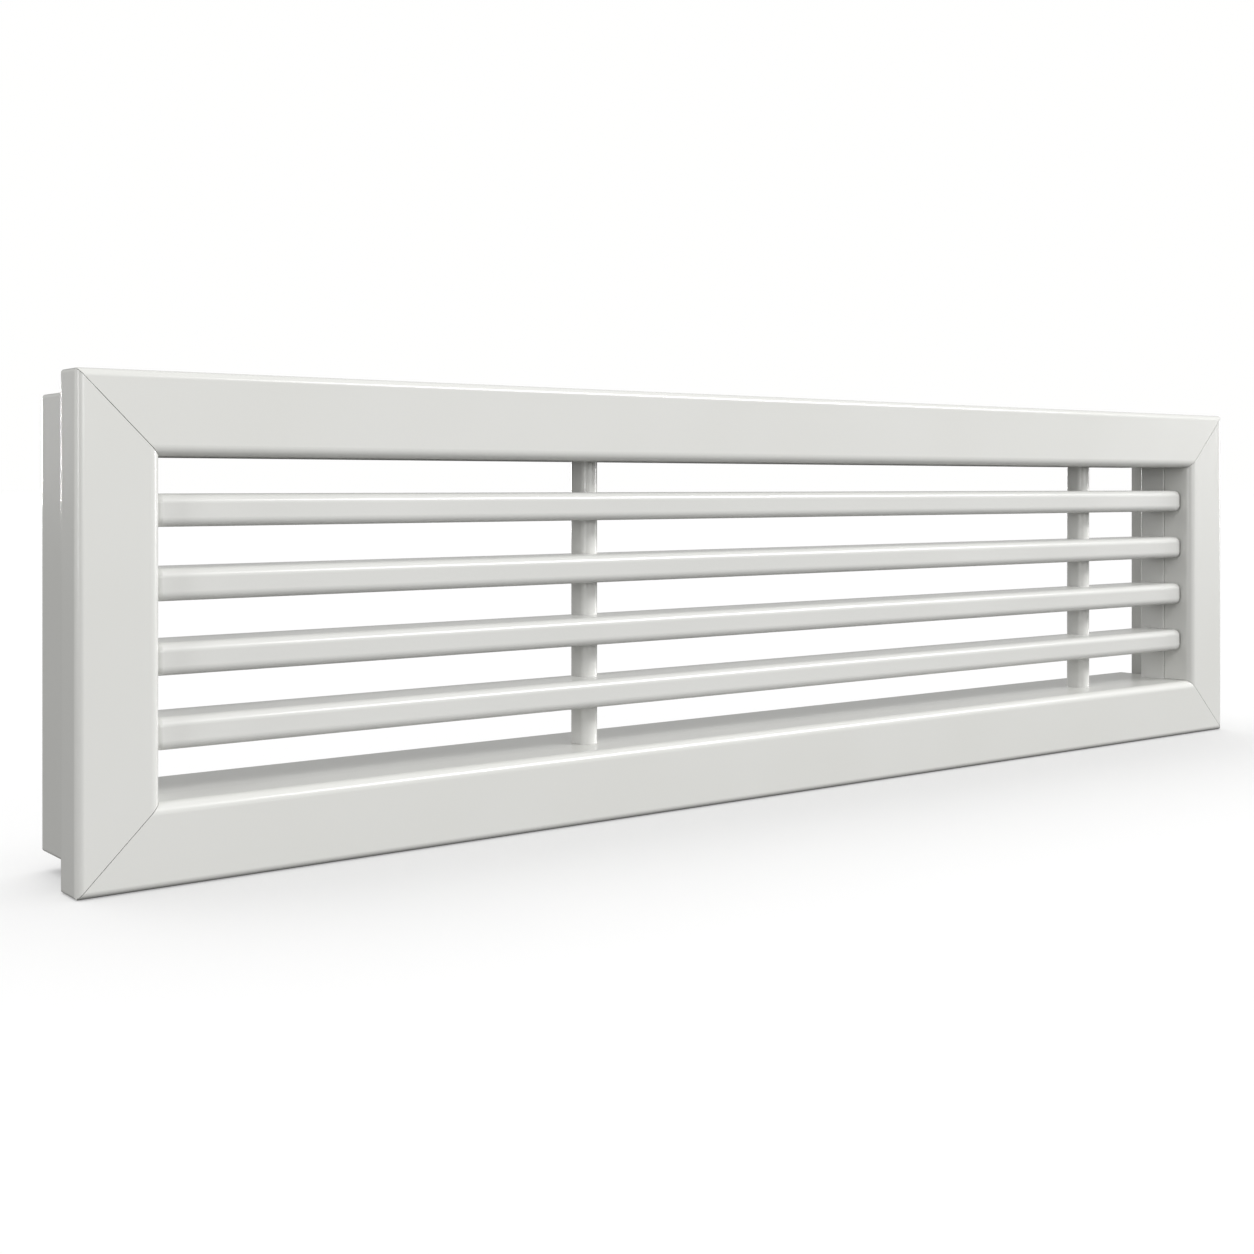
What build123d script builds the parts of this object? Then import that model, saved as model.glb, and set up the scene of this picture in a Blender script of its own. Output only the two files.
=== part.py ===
from build123d import *
import os
from math import sqrt

os.makedirs("parts", exist_ok=True)

# A linear bar ventilation grille for a wall opening. A mitred border frame with a collar
# holds a core: bars threaded on posts, between two end plates and two rails.
# Millimetres. +X runs along the bars, +Y goes into the wall, +Z is up. The origin is the
# centre of the wall plane, where the border's outer lip meets the wall.

# Border frame
face_width = 590.0
face_height = 160.0
border_width = 26.5
lip_depth = 14.0             # from the wall plane forward to the front face
return_depth = 16.0          # how deep the opening's lining reaches behind the front face
profile_wall = 1.8
outer_edge_radius = 2.4
inner_edge_radius = 3.5
rear_edge_radius = 0.6
corner_edge_radius = 1.3     # of the frame's and the collar's four corners, seen from the front
mitre_gap = 0.2

# Collar that enters the wall opening
collar_inset = 6.0
collar_depth = 35.0

# Corner keys inside the frame's chamber
chamber_depth = 8.0
key_leg = 48.0
key_end_radius = 2.0
key_hole_radius = 2.5
key_hole_inset = 8.0

# Bars
bar_count = 4
bar_height = 10.4
bar_depth = 22.0
bar_setback = 5.5            # from the front face back to the bars' front
bar_top_gap = 11.6           # from the opening's top edge down to the first bar
bar_bottom_gap = 15.1        # from the last bar down to the opening's bottom edge
bar_edge_radius = 2.9
bar_end_radius = 2.4

# Posts that carry the bars
post_width = 7.0
post_depth = 10.0
post_rear_radius = 0.8
left_post_place = 176.8      # from the opening's left side to the post's centre
right_post_place = 61.8      # from the opening's right side to the post's centre

# End plates, one at each end of the bars
end_plate_thickness = 9.0
end_plate_depth = 13.5
end_plate_radius = 0.5
end_plate_proud = 0.3        # stands this far inside the opening's side

# Rails, tubes along the top and the bottom of the core
rail_wall = 1.6
rail_edge_radius = 0.8
rail_recess = 0.3            # stands this far outside the opening's top and bottom

# Tenons on the posts and end plates, which enter the rails
post_tenon_width = 4.4
post_tenon_depth = 6.0
plate_tenon_width = 5.0
plate_tenon_depth = 8.0
tenon_reach = 3.2            # past the rail's face

# Fasteners
screw_radius = 1.9
screw_head_radius = 3.6
screw_head_height = 2.0
screw_length = 20.0
socket_radius = 1.25         # to the flats of the screw's hexagonal socket
socket_depth = 1.2
rivet_radius = 2.0
rivet_head_radius = 3.8
rivet_head_height = 0.9
rivet_rim_height = 0.2
rivet_recess_radius = 1.1    # left in the head by the rivet's mandrel
rivet_recess_depth = 0.6
rivet_tail_radius = 3.0
rivet_tail_height = 1.6
rivet_end_distance = 85.0    # from the face's ends to the outer rivets

# Fits
slide_clearance = 0.2
slot_clearance = 0.1
screw_clearance = 0.05

# Places worked out from the sizes above
front_y = -lip_depth
return_y = front_y + return_depth
chamber_front_y = front_y + profile_wall
chamber_rear_y = chamber_front_y + chamber_depth
half_width = face_width / 2
half_height = face_height / 2
opening_half_width = half_width - border_width
opening_half_height = half_height - border_width
collar_inner = collar_inset + profile_wall
return_outer = border_width - profile_wall
chamber_round = max(inner_edge_radius - profile_wall, rear_edge_radius)

bar_front_y = front_y + bar_setback
bar_mid_y = bar_front_y + bar_depth / 2
bar_half_length = opening_half_width - end_plate_proud
bar_top_z = opening_half_height - bar_top_gap - bar_height / 2
bar_bottom_z = -opening_half_height + bar_bottom_gap + bar_height / 2
bar_pitch = (bar_top_z - bar_bottom_z) / (bar_count - 1)
bar_heights = [bar_top_z - row * bar_pitch for row in range(bar_count)]
post_centres = (-opening_half_width + left_post_place, opening_half_width - right_post_place)
rivet_places = (-half_width + rivet_end_distance, 0, half_width - rivet_end_distance)

core_half_height = opening_half_height + rail_recess
core_half_width = bar_half_length + end_plate_thickness
rail_outer_z = half_height - collar_inner - slide_clearance
rail_height = rail_outer_z - core_half_height
rail_depth = collar_depth - return_y
rail_mid_y = (return_y + collar_depth) / 2
post_mid_y = return_y + post_depth / 2
plate_mid_y = return_y + end_plate_depth / 2
screw_y = (return_y + min(bar_front_y + bar_depth, return_y + end_plate_depth)) / 2
rivet_grip = profile_wall + slide_clearance + rail_wall
cut_margin = 1.0             # how far a cutting tool runs past the face it starts from


def panel(low_y, high_y, low_z, high_z):
    """One straight wall of a section drawn with depth along x and height along y."""
    centre = Pos((low_y + high_y) / 2, (low_z + high_z) / 2)
    return centre * Rectangle(high_y - low_y, high_z - low_z)


def corner_of(section, y, z):
    """The section's vertex nearest to a point."""
    return section.vertices().sort_by_distance((y, z, 0))[0]


def frame_section():
    """Section of the border extrusion: outer edge at z = 0, the opening at z = border_width."""
    face = panel(front_y, chamber_front_y, 0, border_width)
    lip = panel(front_y, 0, 0, profile_wall)
    collar = panel(front_y, collar_depth, collar_inset, collar_inner)
    lining = panel(front_y, return_y, return_outer, border_width)
    chamber_wall = panel(chamber_rear_y, chamber_rear_y + profile_wall, collar_inset, border_width)
    section = face + lip + collar + lining + chamber_wall

    rounds = [
        (front_y, 0, outer_edge_radius),
        (chamber_front_y, profile_wall, max(outer_edge_radius - profile_wall, rear_edge_radius)),
        (front_y, border_width, inner_edge_radius),
        (chamber_front_y, return_outer, chamber_round),
        (return_y, border_width, rear_edge_radius),
        (collar_depth, collar_inset, rear_edge_radius),
        (0, 0, rear_edge_radius),
    ]
    for y, z, radius in rounds:
        section = fillet(corner_of(section, y, z), radius)
    return section


def eased_slab(length, inset, low_y, high_y):
    """Slab between two depths, set in from a member's outer edge, its two outer corners rounded."""
    height = border_width - inset
    sheet = Pos(0, inset + height / 2) * Rectangle(length - 2 * inset, height)
    sheet = fillet(sheet.vertices().group_by(Axis.Y)[0], corner_edge_radius)
    slab = extrude(Plane.XZ * sheet, (high_y - low_y) / 2, both=True)
    return Pos(0, (low_y + high_y) / 2, 0) * slab


def frame_member(length, rivet_x=()):
    """A mitred length of the border extrusion, outer edge on z = 0, middle at x = 0."""
    stock = extrude(Plane.YZ * frame_section(), length / 2, both=True)
    trim = mitre_gap / sqrt(2)
    outer_x = length / 2 - trim
    inner_x = outer_x - border_width
    outline = Polyline(
        (-outer_x, 0), (outer_x, 0), (inner_x, border_width), (-inner_x, border_width), close=True
    )
    member = stock & extrude(Plane.XZ * make_face(outline), lip_depth + collar_depth, both=True)
    member &= eased_slab(length, 0, front_y, 0) + eased_slab(length, collar_inset, 0, collar_depth)
    for x in rivet_x:
        member -= rivet_hole(x, collar_inset, collar_inner)
    return member


def rivet_hole(x, low_z, high_z):
    """Cutter for a rivet's hole through a wall that lies between two heights."""
    depth = high_z - low_z + 2 * cut_margin
    hole = Cylinder(rivet_radius + slot_clearance, depth)
    return Pos(x, rail_mid_y, (low_z + high_z) / 2) * hole


def corner_key():
    """L-shaped key for the chamber: outer corner of the frame at the origin, legs along +X and +Z."""
    near = collar_inner + slide_clearance
    far = return_outer - slide_clearance
    outline = Polyline(
        (near, near), (key_leg, near), (key_leg, far), (far, far), (far, key_leg), (near, key_leg),
        close=True,
    )
    plate = make_face(outline)
    ends = [(key_leg, near), (key_leg, far), (near, key_leg), (far, key_leg)]
    plate = fillet([corner_of(plate, x, z) for x, z in ends], key_end_radius)
    middle = (near + far) / 2
    hole_x = key_leg - key_hole_inset
    for x, z in ((hole_x, middle), (middle, hole_x)):
        plate -= Pos(x, z) * Circle(key_hole_radius)
    thickness = chamber_depth - 2 * slide_clearance
    middle_y = (chamber_front_y + chamber_rear_y) / 2
    block = Pos(0, middle_y, 0) * extrude(Plane.XZ * plate, thickness / 2, both=True)
    front_edges = block.faces().sort_by(Axis.Y)[0].outer_wire().edges()
    return chamfer(front_edges, chamber_round)


def post_section(growth=0.0):
    """Section of a post seen from above: a half-round front and a flat back."""
    width = post_width + 2 * growth
    depth = post_depth + 2 * growth
    blank = fillet(Rectangle(width, depth).vertices(), post_rear_radius)
    nose_length = width / 2
    nose = Pos(0, -depth / 2 + nose_length) * Circle(nose_length)
    rear = blank & Pos(0, nose_length / 2) * Rectangle(width, depth - nose_length)
    return nose + rear


def tenon(width, depth):
    """Tenons at both ends of an upright, as one long core bar."""
    return Box(width, depth, 2 * (core_half_height + tenon_reach))


def post(x):
    """Upright that passes through the bars' slots and is held by the rails."""
    shank = extrude(post_section(), core_half_height, both=True)
    return Pos(x, post_mid_y, 0) * (shank + tenon(post_tenon_width, post_tenon_depth))


def end_plate():
    """Flat bar at the right-hand end of the core, with a countersunk hole for each bar."""
    blank = Box(end_plate_thickness, end_plate_depth, 2 * core_half_height)
    blank = fillet(blank.edges().filter_by(Axis.Z), end_plate_radius)
    middle_x = bar_half_length + end_plate_thickness / 2
    plate = Pos(middle_x, plate_mid_y, 0) * (blank + tenon(plate_tenon_width, plate_tenon_depth))
    for z in bar_heights:
        plate -= at_bar_end(countersunk_screw(screw_clearance), z)
    return plate


def countersunk_screw(growth=0.0):
    """Countersunk screw along -Z with its head's flat at z = 0, or its hole when grown."""
    shank = screw_radius + growth
    head = screw_head_radius + growth
    outline = Polyline(
        (0, 0), (head, 0), (shank, -screw_head_height), (shank, -screw_length - growth),
        (0, -screw_length - growth), close=True,
    )
    return revolve(Plane.XZ * make_face(outline), Axis.Z)


def bar_screw():
    """Countersunk screw with a hexagonal socket in its head."""
    socket = extrude(RegularPolygon(socket_radius, 6, major_radius=False), socket_depth, both=True)
    return countersunk_screw() - socket


def at_bar_end(piece, z):
    """A screw or its hole, in line with a bar, from the right-hand end plate's outer face inwards."""
    return Pos(core_half_width, screw_y, z) * Rot(0, 90, 0) * piece


def bar(z):
    """Horizontal bar with eased edges, a slot for each post and a bore in each end."""
    section = fillet(Rectangle(bar_depth, bar_height).vertices(), bar_edge_radius)
    blank = extrude(Plane.YZ * section, bar_half_length, both=True)
    ends = blank.edges().group_by(Axis.X)
    blank = fillet(ends[0] + ends[-1], min(bar_end_radius, bar_edge_radius - slot_clearance))
    solid = Pos(0, bar_mid_y, z) * blank
    for x in post_centres:
        slot = extrude(post_section(slot_clearance), bar_height, both=True)
        solid -= Pos(x, post_mid_y, z) * slot
    bore = at_bar_end(countersunk_screw(screw_clearance), z)
    return solid - bore - mirror(bore, Plane.YZ)


def rail():
    """Tube along the bottom of the core, open at its ends, slotted for the tenons."""
    outer = fillet(Rectangle(rail_depth, rail_height).vertices(), rail_edge_radius)
    inner = Rectangle(rail_depth - 2 * rail_wall, rail_height - 2 * rail_wall)
    tube = extrude(Plane.YZ * (outer - inner), core_half_width, both=True)
    tube = Pos(0, rail_mid_y, -(core_half_height + rail_height / 2)) * tube
    plate_x = bar_half_length + end_plate_thickness / 2
    slots = [(x, post_mid_y, post_tenon_width, post_tenon_depth) for x in post_centres]
    slots += [(x, plate_mid_y, plate_tenon_width, plate_tenon_depth) for x in (-plate_x, plate_x)]
    for x, y, width, depth in slots:
        cutter = Box(width + 2 * slot_clearance, depth + 2 * slot_clearance, 2 * rail_wall)
        tube -= Pos(x, y, -core_half_height) * cutter
    for x in rivet_places:
        tube -= rivet_hole(x, -rail_outer_z, -rail_outer_z + rail_wall)
    return tube


def rivet():
    """Closed rivet through the collar and the rail: collar's outer face at z = 0, domed head below."""
    outline = Polyline(
        (0, -rivet_head_height), (rivet_head_radius, -rivet_head_height), (rivet_head_radius, 0),
        (rivet_radius, 0), (rivet_radius, rivet_grip), (rivet_tail_radius, rivet_grip),
        (rivet_tail_radius, rivet_grip + rivet_tail_height), (0, rivet_grip + rivet_tail_height),
        close=True,
    )
    rise = rivet_head_height - rivet_rim_height
    dome_radius = (rivet_head_radius**2 + rise**2) / (2 * rise)
    dome = Pos(0, 0, dome_radius - rivet_head_height) * Sphere(dome_radius)
    recess = Pos(0, 0, -rivet_head_height) * Cylinder(rivet_recess_radius, 2 * rivet_recess_depth)
    return (revolve(Plane.XZ * make_face(outline), Axis.Z) & dome) - recess


turn_over = Rot(0, 180, 0)
long_member = frame_member(face_width, rivet_places)
short_member = frame_member(face_height)
nodes = {
    "frame_bottom": Pos(0, 0, -half_height) * long_member,
    "frame_top": Pos(0, 0, half_height) * turn_over * long_member,
    "frame_left": Pos(-half_width, 0, 0) * Rot(0, 90, 0) * short_member,
    "frame_right": Pos(half_width, 0, 0) * Rot(0, -90, 0) * short_member,
}

key = corner_key()
nodes["corner_key_bottom_left"] = Pos(-half_width, 0, -half_height) * key
nodes["corner_key_bottom_right"] = Pos(half_width, 0, -half_height) * Rot(0, -90, 0) * key
nodes["corner_key_top_right"] = Pos(half_width, 0, half_height) * turn_over * key
nodes["corner_key_top_left"] = Pos(-half_width, 0, half_height) * Rot(0, 90, 0) * key

nodes["rail_bottom"] = rail()
nodes["rail_top"] = mirror(rail(), Plane.XY)
nodes["end_plate_right"] = end_plate()
nodes["end_plate_left"] = mirror(end_plate(), Plane.YZ)
for number, x in enumerate(post_centres, start=1):
    nodes[f"post_{number}"] = post(x)
for number, z in enumerate(bar_heights, start=1):
    nodes[f"bar_{number}"] = bar(z)
    nodes[f"bar_screw_right_{number}"] = at_bar_end(bar_screw(), z)
    nodes[f"bar_screw_left_{number}"] = mirror(at_bar_end(bar_screw(), z), Plane.YZ)

collar_z = half_height - collar_inset
for number, x in enumerate(rivet_places, start=1):
    nodes[f"rivet_bottom_{number}"] = Pos(x, rail_mid_y, -collar_z) * rivet()
    nodes[f"rivet_top_{number}"] = Pos(x, rail_mid_y, collar_z) * turn_over * rivet()

for name, shape in nodes.items():
    solids = shape.solids()
    print(f"{name}: {len(solids)} solid, {sum(solid.volume for solid in solids):.0f} mm3")
    export_step(solids[0], f"parts/{name}.step")
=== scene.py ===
"""Studio scene of a linear bar ventilation grille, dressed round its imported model.

The grille is a mitred border frame with a collar for the wall opening. It holds a core of
rounded bars on round-nosed posts, between two end plates and two rails. All lengths are in
metres in the model's own frame unless a name ends in _mm.
"""

from __future__ import annotations

import logging
import math
from dataclasses import dataclass
from enum import Enum
from typing import Any

import bmesh
import bpy
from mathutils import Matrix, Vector

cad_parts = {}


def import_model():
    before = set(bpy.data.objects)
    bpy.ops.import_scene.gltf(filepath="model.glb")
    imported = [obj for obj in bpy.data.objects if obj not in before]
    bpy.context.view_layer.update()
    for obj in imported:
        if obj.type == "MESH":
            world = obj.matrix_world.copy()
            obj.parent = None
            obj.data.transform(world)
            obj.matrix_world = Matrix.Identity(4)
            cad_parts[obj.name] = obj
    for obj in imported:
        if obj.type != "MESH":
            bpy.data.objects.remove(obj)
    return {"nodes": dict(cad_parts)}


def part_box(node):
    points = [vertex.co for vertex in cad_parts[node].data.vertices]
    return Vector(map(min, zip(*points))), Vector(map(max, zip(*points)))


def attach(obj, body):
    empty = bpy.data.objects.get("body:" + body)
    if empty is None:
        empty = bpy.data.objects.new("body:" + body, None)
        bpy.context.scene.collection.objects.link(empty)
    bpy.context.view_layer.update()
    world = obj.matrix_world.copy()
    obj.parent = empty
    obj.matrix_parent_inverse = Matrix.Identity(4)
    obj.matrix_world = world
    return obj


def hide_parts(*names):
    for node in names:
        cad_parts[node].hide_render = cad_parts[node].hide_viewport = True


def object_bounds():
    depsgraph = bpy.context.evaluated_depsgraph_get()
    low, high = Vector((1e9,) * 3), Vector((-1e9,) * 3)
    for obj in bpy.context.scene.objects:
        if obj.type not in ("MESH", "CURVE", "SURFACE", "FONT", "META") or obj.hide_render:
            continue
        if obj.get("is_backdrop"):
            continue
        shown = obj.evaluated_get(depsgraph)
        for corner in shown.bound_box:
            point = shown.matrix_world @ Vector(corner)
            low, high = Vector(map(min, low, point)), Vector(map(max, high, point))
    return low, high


LOG = logging.getLogger("grille")
MM = 0.001


class Direction(Enum):
    """The way a drawn or extruded metal piece was pulled, which its fine lines follow."""

    ALONG_X = (1.0, 0.0, 0.0)
    ALONG_Y = (0.0, 1.0, 0.0)
    ALONG_Z = (0.0, 0.0, 1.0)


def linear(code: str) -> tuple[float, float, float, float]:
    """Turns an sRGB hex colour into linear RGBA.

    Args:
        code: Colour as "#RRGGBB".

    Returns:
        Linear red, green, blue and an alpha of 1.
    """
    channels = [int(code[place : place + 2], 16) / 255 for place in (1, 3, 5)]
    red, green, blue = (
        c / 12.92 if c <= 0.04045 else ((c + 0.055) / 1.055) ** 2.4 for c in channels
    )
    return red, green, blue, 1.0


def per_metre(size_mm: float) -> float:
    """Texture scale that gives a pattern features of this size in millimetres."""
    return 1.0 / (size_mm * MM)


def add_node(
    tree: bpy.types.NodeTree,
    kind: str,
    settings: dict[str | int, Any] | None = None,
    links: dict[str | int, bpy.types.NodeSocket] | None = None,
) -> bpy.types.Node:
    """Adds one node with its settings and links.

    Args:
        tree: Node tree that gets the node.
        kind: Blender's name of the node's type.
        settings: Values by input name or place, or by attribute where no input has the name.
        links: Output sockets by the input name or place that they feed.

    Returns:
        The new node.
    """
    node = tree.nodes.new(kind)
    for key, value in (settings or {}).items():
        if isinstance(key, int) or key in node.inputs:
            node.inputs[key].default_value = value
        else:
            setattr(node, key, value)
    for key, socket in (links or {}).items():
        tree.links.new(socket, node.inputs[key])
    return node


def new_tree(name: str) -> tuple[bpy.types.Material, bpy.types.NodeTree]:
    """Makes an empty node material.

    Args:
        name: The material's name.

    Returns:
        The material and its cleared node tree.
    """
    material = bpy.data.materials.new(name)
    material.use_nodes = True
    material.node_tree.nodes.clear()
    return material, material.node_tree


@dataclass(frozen=True)
class PowderCoat:
    """Polyester powder coat, sprayed on aluminium and baked, in a satin off-white.

    The melt flows out nearly level, so the eye gets an even, soft sheen with a faint
    orange peel, and a tone that drifts a little where the film is thicker.
    """

    name: str
    light_hex: str
    dark_hex: str
    roughness: float = 0.235
    roughness_drift: float = 0.03
    ior: float = 1.5
    peel_mm: float = 1.6  # real peel is 0.5 to 1.5 mm across, drawn at the coarse end to show
    peel_depth_mm: float = 0.006
    grain_mm: float = 0.45  # pigment grains are far finer, drawn coarse enough to show close up
    film_mm: float = 70.0  # how far apart the thick and thin parts of the film lie

    def material(self) -> bpy.types.Material:
        """Builds the coat's material."""
        material, tree = new_tree(self.name)
        place = add_node(tree, "ShaderNodeTexCoord").outputs["Object"]
        film = add_node(
            tree,
            "ShaderNodeTexNoise",
            {"Scale": per_metre(self.film_mm), "Detail": 2.0, "Roughness": 0.5},
            {"Vector": place},
        )
        grain = add_node(
            tree,
            "ShaderNodeTexNoise",
            {"Scale": per_metre(self.grain_mm), "Detail": 1.0, "Roughness": 0.6},
            {"Vector": place},
        )
        tone = add_node(
            tree,
            "ShaderNodeMath",
            {"operation": "MULTIPLY_ADD", 1: 0.25},
            {0: grain.outputs["Fac"], 2: film.outputs["Fac"]},
        )
        share = add_node(
            tree,
            "ShaderNodeMapRange",
            {"From Min": 0.35, "From Max": 0.9},
            {"Value": tone.outputs[0]},
        )
        colour = add_node(
            tree,
            "ShaderNodeMix",
            {"data_type": "RGBA", 6: linear(self.dark_hex), 7: linear(self.light_hex)},
            {0: share.outputs["Result"]},
        )
        sheen = add_node(
            tree,
            "ShaderNodeMapRange",
            {
                "To Min": self.roughness - self.roughness_drift,
                "To Max": self.roughness + self.roughness_drift,
            },
            {"Value": film.outputs["Fac"]},
        )
        peel = add_node(
            tree,
            "ShaderNodeTexNoise",
            {"Scale": per_metre(self.peel_mm), "Detail": 2.0, "Roughness": 0.45},
            {"Vector": place},
        )
        bump = add_node(
            tree,
            "ShaderNodeBump",
            {"Distance": self.peel_depth_mm * MM},
            {"Height": peel.outputs["Fac"]},
        )
        shader = add_node(
            tree,
            "ShaderNodeBsdfPrincipled",
            {"IOR": self.ior},
            {
                "Base Color": colour.outputs[2],
                "Roughness": sheen.outputs["Result"],
                "Normal": bump.outputs["Normal"],
            },
        )
        add_node(tree, "ShaderNodeOutputMaterial", links={"Surface": shader.outputs["BSDF"]})
        return material


@dataclass(frozen=True)
class DrawnMetal:
    """Bare metal that was extruded, drawn or rolled, with fine lines the way it was pulled.

    The lines stretch each reflection across themselves, so the eye gets a grey, brushed
    sheen with streaks of slightly different brightness.
    """

    name: str
    light_hex: str
    dark_hex: str
    roughness: float
    pulled: Direction
    line_mm: float = 0.25  # die lines are finer, drawn coarse enough to show
    line_length_mm: float = 30.0
    line_depth_mm: float = 0.004

    def material(self) -> bpy.types.Material:
        """Builds the metal's material."""
        material, tree = new_tree(self.name)
        place = add_node(tree, "ShaderNodeTexCoord").outputs["Object"]
        across, along = per_metre(self.line_mm), per_metre(self.line_length_mm)
        stretch = tuple(along if part else across for part in self.pulled.value)
        lines = add_node(
            tree,
            "ShaderNodeTexNoise",
            {"Scale": 1.0, "Detail": 3.0, "Roughness": 0.6},
            {
                "Vector": add_node(
                    tree, "ShaderNodeMapping", {"Scale": stretch}, {"Vector": place}
                ).outputs["Vector"]
            },
        )
        colour = add_node(
            tree,
            "ShaderNodeMix",
            {"data_type": "RGBA", 6: linear(self.dark_hex), 7: linear(self.light_hex)},
            {0: lines.outputs["Fac"]},
        )
        sheen = add_node(
            tree,
            "ShaderNodeMapRange",
            {"To Min": self.roughness - 0.08, "To Max": self.roughness + 0.08},
            {"Value": lines.outputs["Fac"]},
        )
        bump = add_node(
            tree,
            "ShaderNodeBump",
            {"Distance": self.line_depth_mm * MM},
            {"Height": lines.outputs["Fac"]},
        )
        shader = add_node(
            tree,
            "ShaderNodeBsdfPrincipled",
            {"Metallic": 1.0},
            {
                "Base Color": colour.outputs[2],
                "Roughness": sheen.outputs["Result"],
                "Normal": bump.outputs["Normal"],
            },
        )
        add_node(tree, "ShaderNodeOutputMaterial", links={"Surface": shader.outputs["BSDF"]})
        return material


@dataclass(frozen=True)
class StudioPaper:
    """Matt white seamless paper of a studio floor, lit through from below.

    It glows to the eye, so that only a soft shadow shows, and gives little bounce light.
    """

    name: str = "studio_paper"
    seen_hex: str = "#CACACA"
    glow: float = 0.35
    bounce_hex: str = "#404040"
    fibre_mm: float = 4.0

    def material(self) -> bpy.types.Material:
        """Builds the paper's material."""
        material, tree = new_tree(self.name)
        place = add_node(tree, "ShaderNodeTexCoord").outputs["Object"]
        fibres = add_node(
            tree,
            "ShaderNodeTexNoise",
            {"Scale": per_metre(self.fibre_mm), "Detail": 2.0},
            {"Vector": place},
        )
        bump = add_node(
            tree, "ShaderNodeBump", {"Distance": 0.02 * MM}, {"Height": fibres.outputs["Fac"]}
        )
        normal = {"Normal": bump.outputs["Normal"]}
        seen = add_node(
            tree, "ShaderNodeBsdfDiffuse", {"Color": linear(self.seen_hex)}, normal
        )
        bounce = add_node(
            tree, "ShaderNodeBsdfDiffuse", {"Color": linear(self.bounce_hex)}, normal
        )
        light = add_node(tree, "ShaderNodeEmission", {"Strength": self.glow})
        glowing = add_node(
            tree, "ShaderNodeAddShader", links={0: seen.outputs[0], 1: light.outputs[0]}
        )
        path = add_node(tree, "ShaderNodeLightPath")
        paper = add_node(
            tree,
            "ShaderNodeMixShader",
            links={
                0: path.outputs["Is Camera Ray"],
                1: bounce.outputs[0],
                2: glowing.outputs[0],
            },
        )
        add_node(tree, "ShaderNodeOutputMaterial", links={"Surface": paper.outputs[0]})
        return material


FRAME_COAT = PowderCoat("satin_powder_coat_frame", light_hex="#DCDCD9", dark_hex="#D9D9D5")
# The core's coat is the frame's coat tinted a little darker: painted shade standing in for the shade of
# the core recessed behind the frame.
SHADED_CORE_COAT = PowderCoat("satin_powder_coat_core_painted_shade", light_hex="#DADAD7", dark_hex="#D6D6D3")
KEY_METAL = DrawnMetal(
    "mill_finish_aluminium", "#D2D4D6", "#B9BBBE", roughness=0.38, pulled=Direction.ALONG_X
)
CREASE = math.radians(35)  # edges sharper than this stay crisp
RIVET_METAL = DrawnMetal(
    "cold_headed_aluminium", "#D6D8DA", "#BFC1C4", roughness=0.32, pulled=Direction.ALONG_Z
)
SCREW_METAL = DrawnMetal(
    "zinc_plated_steel", "#C9CCCF", "#A9ACB0", roughness=0.3, pulled=Direction.ALONG_X
)


def dress(node: bpy.types.Object, material: bpy.types.Material) -> None:
    """Gives one object a single material.

    Args:
        node: The mesh to dress.
        material: The material for all of its faces.
    """
    node.data.materials.clear()
    node.data.materials.append(material)
    LOG.info("%s: %s", node.name, material.name)


@dataclass(frozen=True)
class Ring:
    """One closed loop of a turned piece, square to its axis.

    Its radii are spread evenly round the axis, and both they and its place are in millimetres.
    """

    along_mm: float
    radii_mm: tuple[float, ...]


def round_ring(along_mm: float, radius_mm: float, corners: int) -> Ring:
    """Makes a ring with the same radius all the way round."""
    return Ring(along_mm, (radius_mm,) * corners)


def turned(name: str, rings: list[Ring], origin: Vector, axis: Vector) -> bpy.types.Object:
    """Builds a closed mesh through rings, with a flat fan over each end.

    Args:
        name: The piece's name.
        rings: Its rings in order, each with as many corners.
        origin: The point on the axis where along_mm is zero.
        axis: Unit direction in which along_mm grows.

    Returns:
        The new object.
    """
    corners = len(rings[0].radii_mm)
    side = axis.orthogonal().normalized()
    up = axis.cross(side)
    mesh = bmesh.new()
    loops = []
    for ring in rings:
        centre = origin + axis * (ring.along_mm * MM)
        turns = [math.tau * corner / corners for corner in range(corners)]
        loops.append(
            [
                mesh.verts.new(centre + (side * math.cos(turn) + up * math.sin(turn)) * radius * MM)
                for turn, radius in zip(turns, ring.radii_mm)
            ]
        )
    for near, far in zip(loops, loops[1:]):
        for corner in range(corners):
            after = (corner + 1) % corners
            mesh.faces.new((near[corner], near[after], far[after], far[corner]))
    for ring, loop in ((rings[0], loops[0]), (rings[-1], loops[-1])):
        middle = mesh.verts.new(origin + axis * (ring.along_mm * MM))
        for corner in range(corners):
            mesh.faces.new((middle, loop[corner], loop[(corner + 1) % corners]))
    bmesh.ops.recalc_face_normals(mesh, faces=mesh.faces)
    data = bpy.data.meshes.new(name)
    mesh.to_mesh(data)
    mesh.free()
    data.shade_smooth()
    data.set_sharp_from_angle(angle=CREASE)
    piece = bpy.data.objects.new(name, data)
    bpy.context.scene.collection.objects.link(piece)
    return piece


def stand_for(piece: bpy.types.Object, node: str) -> None:
    """Puts a detailed piece in the place of one solid of the model.

    Args:
        piece: The detailed piece.
        node: Name of the solid that the piece stands for, which is hidden.
    """
    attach(piece, "root")
    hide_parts(node)


@dataclass
class BorderFrame:
    """The mitred border frame with its lip, lining and collar."""

    sides: tuple[str, ...] = ("bottom", "top", "left", "right")

    def build(self, nodes: dict[str, bpy.types.Object]) -> list[bpy.types.Object]:
        """Dresses the four members.

        Args:
            nodes: The model's pieces by name.

        Returns:
            No new pieces, because the solids are shown themselves.
        """
        coat = FRAME_COAT.material()
        for side in self.sides:
            dress(nodes[f"frame_{side}"], coat)
        return []


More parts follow.
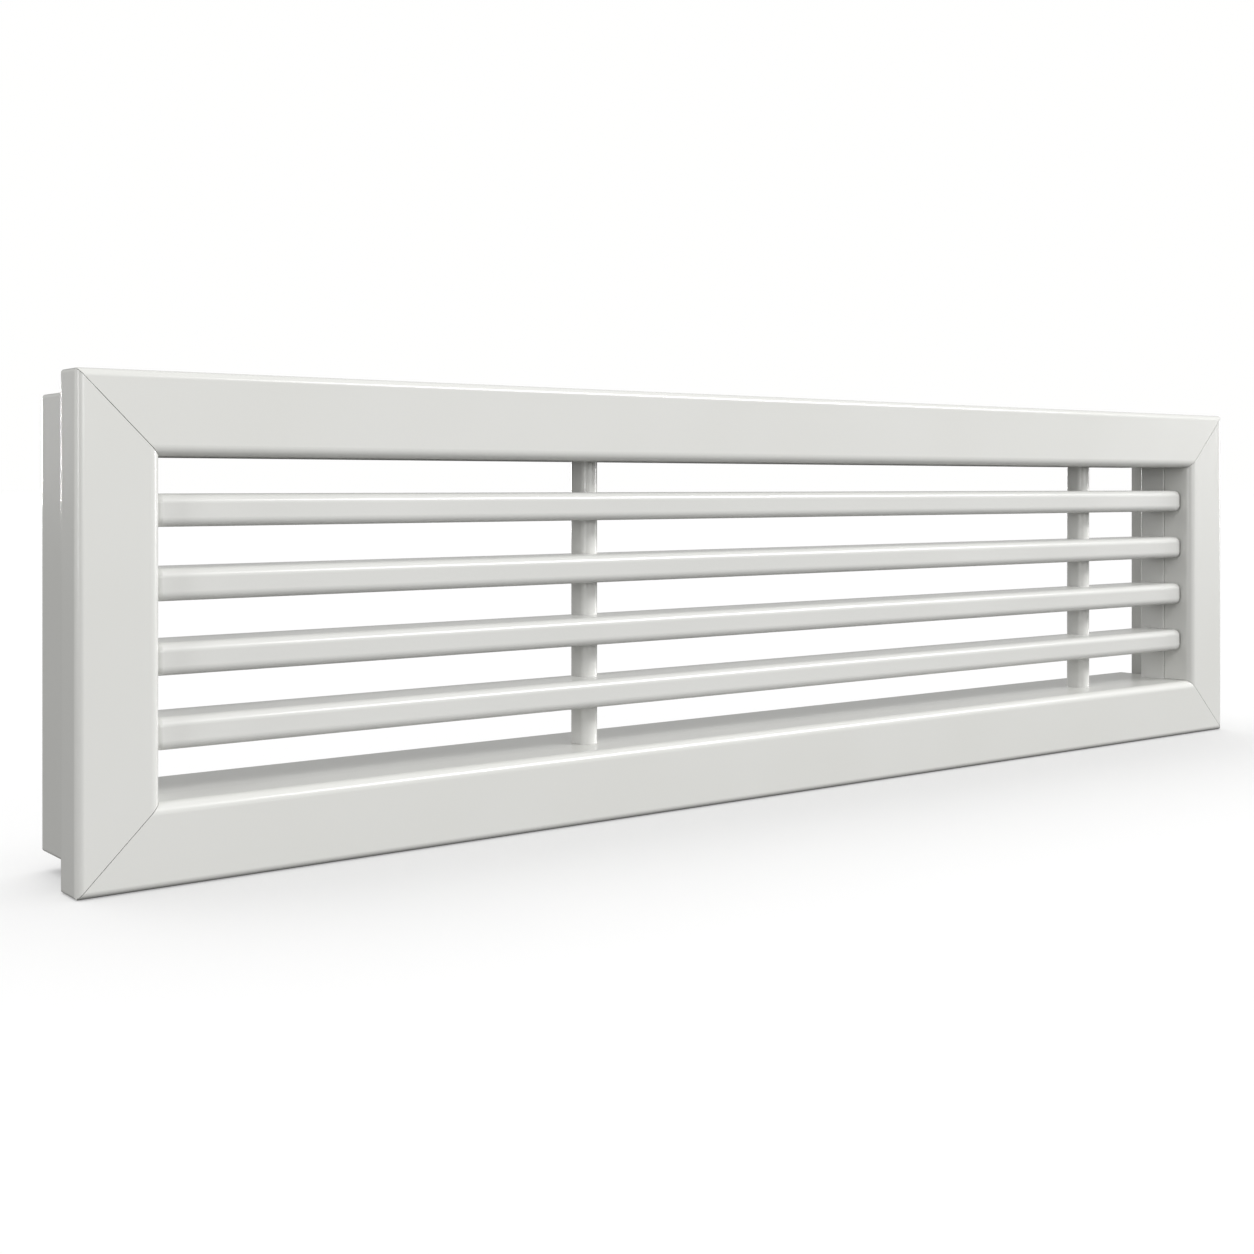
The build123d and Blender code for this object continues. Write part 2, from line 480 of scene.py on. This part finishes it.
@dataclass
class CornerKeys:
    """The L-shaped keys inside the frame's chamber."""

    rows: tuple[str, ...] = ("bottom", "top")
    ends: tuple[str, ...] = ("left", "right")

    def build(self, nodes: dict[str, bpy.types.Object]) -> list[bpy.types.Object]:
        """Dresses the keys.

        Args:
            nodes: The model's pieces by name.

        Returns:
            No new pieces, because the solids are shown themselves.
        """
        metal = KEY_METAL.material()
        for row in self.rows:
            for end in self.ends:
                dress(nodes[f"corner_key_{row}_{end}"], metal)
        return []


@dataclass
class BarCore:
    """The bars, posts, end plates and rails that fill the frame's opening."""

    bars: int = 4
    posts: int = 2

    def build(self, nodes: dict[str, bpy.types.Object]) -> list[bpy.types.Object]:
        """Dresses the core.

        Args:
            nodes: The model's pieces by name.

        Returns:
            No new pieces, because the solids are shown themselves.
        """
        # the darker copy of the frame's coat, painted shade for the recessed core
        coat = SHADED_CORE_COAT.material()
        names = [f"bar_{n}" for n in range(1, self.bars + 1)]
        names += [f"post_{n}" for n in range(1, self.posts + 1)]
        names += ["end_plate_left", "end_plate_right", "rail_bottom", "rail_top"]
        for name in names:
            dress(nodes[name], coat)
        return []


@dataclass
class BarScrews:
    """Countersunk machine screws with a hexagonal socket, which tie the bars to the end plates."""

    bars: int = 4
    head_radius_mm: float = 3.6
    head_height_mm: float = 2.0
    head_rim_mm: float = 0.25
    length_mm: float = 20.0
    thread_radius_mm: float = 1.9
    thread_pitch_mm: float = 0.7
    thread_depth_mm: float = 0.4
    thread_start_mm: float = 3.4
    point_mm: float = 0.6
    socket_flats_mm: float = 1.25  # from the axis to a flat
    socket_depth_mm: float = 1.2
    corners: int = 24
    steps_per_pitch: int = 6

    def socket_ring(self, along_mm: float, wider_mm: float = 0.0) -> Ring:
        """Makes a hexagonal ring for the socket.

        Args:
            along_mm: Its place along the axis.
            wider_mm: How much further out than the socket's wall it lies.

        Returns:
            The ring.
        """
        sector = math.tau / 6
        radii = []
        for corner in range(self.corners):
            turn = math.tau * corner / self.corners
            from_flat = (turn + sector / 2) % sector - sector / 2
            radii.append(self.socket_flats_mm / math.cos(sector / 2 - abs(from_flat)) + wider_mm)
        return Ring(along_mm, tuple(radii))

    def thread_rings(self) -> list[Ring]:
        """Makes the rings of the thread, which fades in and out over one pitch."""
        start, end = self.thread_start_mm, self.length_mm - self.point_mm
        core = self.thread_radius_mm - self.thread_depth_mm
        count = round((end - start) / self.thread_pitch_mm * self.steps_per_pitch)
        rings = []
        for step in range(count + 1):
            along = start + (end - start) * step / count
            fade = min(1.0, (along - start) / self.thread_pitch_mm, (end - along) / self.thread_pitch_mm)
            radii = []
            for corner in range(self.corners):
                phase = (along / self.thread_pitch_mm - corner / self.corners) % 1.0
                ridge = 1.0 - abs(2.0 * phase - 1.0)
                radii.append(core + self.thread_depth_mm * ridge * max(fade, 0.0))
            rings.append(Ring(along, tuple(radii)))
        return rings

    def rings(self) -> list[Ring]:
        """Makes all the rings of one screw, from the bottom of its socket to its point."""
        corners, core = self.corners, self.thread_radius_mm - self.thread_depth_mm
        return [
            self.socket_ring(self.socket_depth_mm),
            self.socket_ring(self.head_rim_mm / 2),
            self.socket_ring(0.0, self.head_rim_mm / 2),
            round_ring(0.0, self.head_radius_mm - self.head_rim_mm / 2, corners),
            round_ring(self.head_rim_mm / 2, self.head_radius_mm, corners),
            round_ring(self.head_rim_mm, self.head_radius_mm - self.head_rim_mm / 4, corners),
            round_ring(self.head_height_mm, self.thread_radius_mm, corners),
            round_ring(self.thread_start_mm - self.thread_pitch_mm, self.thread_radius_mm, corners),
            *self.thread_rings(),
            round_ring(self.length_mm, core - self.point_mm / 2, corners),
        ]

    def build(self, nodes: dict[str, bpy.types.Object]) -> list[bpy.types.Object]:
        """Builds the screws in the place of the plain ones.

        Args:
            nodes: The model's pieces by name.

        Returns:
            The new pieces.
        """
        zinc, pieces = SCREW_METAL.material(), []
        for end, inward in (("left", Vector((1, 0, 0))), ("right", Vector((-1, 0, 0)))):
            for number in range(1, self.bars + 1):
                node = f"bar_screw_{end}_{number}"
                dress(nodes[node], zinc)
                low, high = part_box(node)
                origin = (low + high) / 2 - inward * (high.x - low.x) / 2
                piece = turned(f"threaded_screw_{end}_{number}", self.rings(), origin, inward)
                dress(piece, zinc)
                stand_for(piece, node)
                pieces.append(piece)
        return pieces


@dataclass
class RailRivets:
    """Blind rivets through the collar into the rails, domed, with the stub of their mandrel."""

    per_row: int = 3
    head_radius_mm: float = 3.8
    head_height_mm: float = 0.9
    rim_mm: float = 0.2
    shank_radius_mm: float = 2.0
    tail_radius_mm: float = 3.0
    tail_length_mm: float = 1.6
    recess_radius_mm: float = 1.1
    recess_depth_mm: float = 0.6
    mandrel_radius_mm: float = 0.8
    mandrel_stub_mm: float = 0.25
    corners: int = 32
    dome_steps: int = 8
    tail_steps: int = 6

    def head_rings(self) -> list[Ring]:
        """Makes the rings of the head, from the mandrel's stub over the dome to the flat below."""
        corners, floor = self.corners, self.recess_depth_mm
        rise = self.head_height_mm - self.rim_mm
        dome = (self.head_radius_mm**2 + rise**2) / (2 * rise)
        rings = [
            round_ring(floor - self.mandrel_stub_mm, self.mandrel_radius_mm, corners),
            round_ring(floor, self.mandrel_radius_mm + self.mandrel_stub_mm / 4, corners),
            round_ring(floor, self.recess_radius_mm, corners),
        ]
        for step in range(self.dome_steps + 1):
            span = self.head_radius_mm - self.recess_radius_mm
            radius = self.recess_radius_mm + span * step / self.dome_steps
            rings.append(round_ring(dome - math.sqrt(dome**2 - radius**2), radius, corners))
        rings.append(round_ring(self.head_height_mm, self.head_radius_mm, corners))
        return rings

    def tail_rings(self, length_mm: float) -> list[Ring]:
        """Makes the rings of the shank and of the tail that was pulled out into a barrel.

        Args:
            length_mm: The rivet's whole length.

        Returns:
            The rings.
        """
        corners = self.corners
        grip_end = length_mm - self.tail_length_mm
        bulge = self.tail_radius_mm - self.shank_radius_mm
        rings = [
            round_ring(self.head_height_mm, self.shank_radius_mm, corners),
            round_ring(grip_end, self.shank_radius_mm, corners),
        ]
        for step in range(1, self.tail_steps + 1):
            turn = math.pi * step / (self.tail_steps + 1)
            along = grip_end + self.tail_length_mm * (1 - math.cos(turn)) / 2
            rings.append(round_ring(along, self.shank_radius_mm + bulge * math.sin(turn), corners))
        rings.append(round_ring(length_mm, self.mandrel_radius_mm, corners))
        return rings

    def build(self, nodes: dict[str, bpy.types.Object]) -> list[bpy.types.Object]:
        """Builds the rivets in the place of the plain ones.

        Args:
            nodes: The model's pieces by name.

        Returns:
            The new pieces.
        """
        bare, pieces = RIVET_METAL.material(), []
        for row, inward in (("bottom", Vector((0, 0, 1))), ("top", Vector((0, 0, -1)))):
            for number in range(1, self.per_row + 1):
                node = f"rivet_{row}_{number}"
                dress(nodes[node], bare)
                low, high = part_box(node)
                length = high.z - low.z
                origin = (low + high) / 2 - inward * length / 2
                rings = self.head_rings() + self.tail_rings(length / MM)
                piece = turned(f"blind_rivet_{row}_{number}", rings, origin, inward)
                dress(piece, bare)
                stand_for(piece, node)
                pieces.append(piece)
        return pieces


@dataclass(frozen=True)
class Lamp:
    """A soft box or strip that faces the model's middle and lights the model alone."""

    name: str
    at: tuple[float, float, float]
    width: float
    height: float
    power: float

    def hang(self, target: Vector) -> bpy.types.Object:
        """Hangs the lamp.

        Args:
            target: The point it faces.

        Returns:
            The lamp's object.
        """
        data = bpy.data.lights.new(self.name, "AREA")
        data.shape, data.energy = "RECTANGLE", self.power
        data.size, data.size_y = self.width, self.height
        lamp = bpy.data.objects.new(self.name, data)
        place = Vector(self.at)
        lamp.location = place
        lamp.rotation_euler = (target - place).to_track_quat("-Z", "Y").to_euler()
        bpy.context.scene.collection.objects.link(lamp)
        return lamp


LAMPS = (
    Lamp("key_lamp", at=(2.2, -2.3, 1.9), width=1.8, height=0.7, power=92.0),
    Lamp("front_lamp", at=(-0.3, -4.0, 0.7), width=2.0, height=1.0, power=36.0),
    Lamp("side_lamp", at=(8.8, -2.4, 0.8), width=3.0, height=3.0, power=330.0),
    Lamp("fill_lamp", at=(-2.0, 0.5, 0.1), width=1.0, height=1.0, power=4.0),
    Lamp("back_lamp", at=(0.4, 4.0, 0.15), width=0.8, height=0.3, power=65.0),
    Lamp("edge_strip", at=(-1.71, -0.51, 0.1), width=0.3, height=1.2, power=11.5),
)


@dataclass
class Studio:
    """Camera, floor, sky and lamps."""

    eye: tuple[float, float, float] = (-0.47181, -0.51504, 0.04444)
    heading: float = 0.65384  # radians to the right of straight ahead, +Y
    lens_mm: float = 48.573
    sensor_mm: float = 36.0
    rise: float = -0.11274  # vertical shift, as a share of the picture's width
    floor_half: float = 30.0
    sky_seen: float = 1.0
    sky_light: float = 0.5
    floor_sun: float = 2.0
    floor_sun_spread: float = 1.2  # radians across the sun's disc
    floor_sun_tilt: float = -0.2  # radians that it leans to shine from behind the grille

    def camera(self) -> None:
        """Places the camera at the photograph's viewpoint."""
        data = bpy.data.cameras.new("camera")
        data.sensor_width = self.sensor_mm
        data.lens = self.lens_mm
        data.shift_y = self.rise
        data.clip_start, data.clip_end = 0.01, 100.0
        data.dof.use_dof = False
        camera = bpy.data.objects.new("camera", data)
        camera.location = self.eye
        camera.rotation_euler = (math.pi / 2, 0.0, -self.heading)
        bpy.context.scene.collection.objects.link(camera)
        bpy.context.scene.camera = camera

    def floor(self, height: float) -> bpy.types.Object:
        """Lays the paper floor.

        Args:
            height: Height of the floor's top.

        Returns:
            The floor's object.
        """
        half = self.floor_half
        mesh = bpy.data.meshes.new("studio_floor")
        corners = [(-half, -half, height), (half, -half, height), (half, half, height)]
        mesh.from_pydata([*corners, (-half, half, height)], [], [(0, 1, 2, 3)])
        floor = bpy.data.objects.new("studio_floor", mesh)
        bpy.context.scene.collection.objects.link(floor)
        floor.data.materials.append(StudioPaper().material())
        floor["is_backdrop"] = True
        return floor

    def sky(self) -> None:
        """Makes the white surroundings, which look brighter than the light they give."""
        world = bpy.data.worlds.new("studio_sky")
        world.use_nodes = True
        tree = world.node_tree
        tree.nodes.clear()
        path = add_node(tree, "ShaderNodeLightPath")
        strength = add_node(
            tree,
            "ShaderNodeMapRange",
            {"To Min": self.sky_light, "To Max": self.sky_seen},
            {"Value": path.outputs["Is Camera Ray"]},
        )
        glow = add_node(
            tree,
            "ShaderNodeBackground",
            {"Color": (1.0, 1.0, 0.995, 1.0)},
            {"Strength": strength.outputs["Result"]},
        )
        add_node(tree, "ShaderNodeOutputWorld", links={"Surface": glow.outputs["Background"]})
        bpy.context.scene.world = world

    def lamps(self, floor: bpy.types.Object, target: Vector, nodes: list[bpy.types.Object]) -> None:
        """Hangs the lamps of the model and the soft sun of the floor.

        Args:
            floor: The paper floor, which has a sun of its own.
            target: The point that the lamps face.
            nodes: The model's pieces.
        """
        model = bpy.data.collections.new("lit_by_lamps")
        for node in nodes:
            model.objects.link(node)
        paper = bpy.data.collections.new("lit_by_floor_sun")
        paper.objects.link(floor)
        for lamp in LAMPS:
            lamp.hang(target).light_linking.receiver_collection = model
        data = bpy.data.lights.new("floor_sun", "SUN")
        data.energy, data.angle = self.floor_sun, self.floor_sun_spread
        sun = bpy.data.objects.new("floor_sun", data)
        sun.rotation_euler = (self.floor_sun_tilt, 0.0, 0.0)
        bpy.context.scene.collection.objects.link(sun)
        sun.light_linking.receiver_collection = paper

    def build(self, low: Vector, high: Vector, nodes: list[bpy.types.Object]) -> None:
        """Sets up the studio round the model.

        Args:
            low: Lowest corner of the model.
            high: Highest corner of the model.
            nodes: The model's pieces.
        """
        self.camera()
        floor = self.floor(low.z)
        self.sky()
        self.lamps(floor, (low + high) / 2, nodes)
        bpy.context.scene.view_settings.view_transform = "Standard"


def main() -> None:
    """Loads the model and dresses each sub-assembly."""
    logging.basicConfig(level=logging.INFO, format="%(name)s %(message)s")
    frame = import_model()
    cad_low, cad_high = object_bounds()
    nodes = frame["nodes"]
    shown = list(nodes.values())
    for assembly in (BorderFrame(), CornerKeys(), BarCore(), BarScrews(), RailRivets()):
        shown += assembly.build(nodes)
        LOG.info("built %s", type(assembly).__name__)
    Studio().build(cad_low, cad_high, shown)


if __name__ == "__main__":
    main()
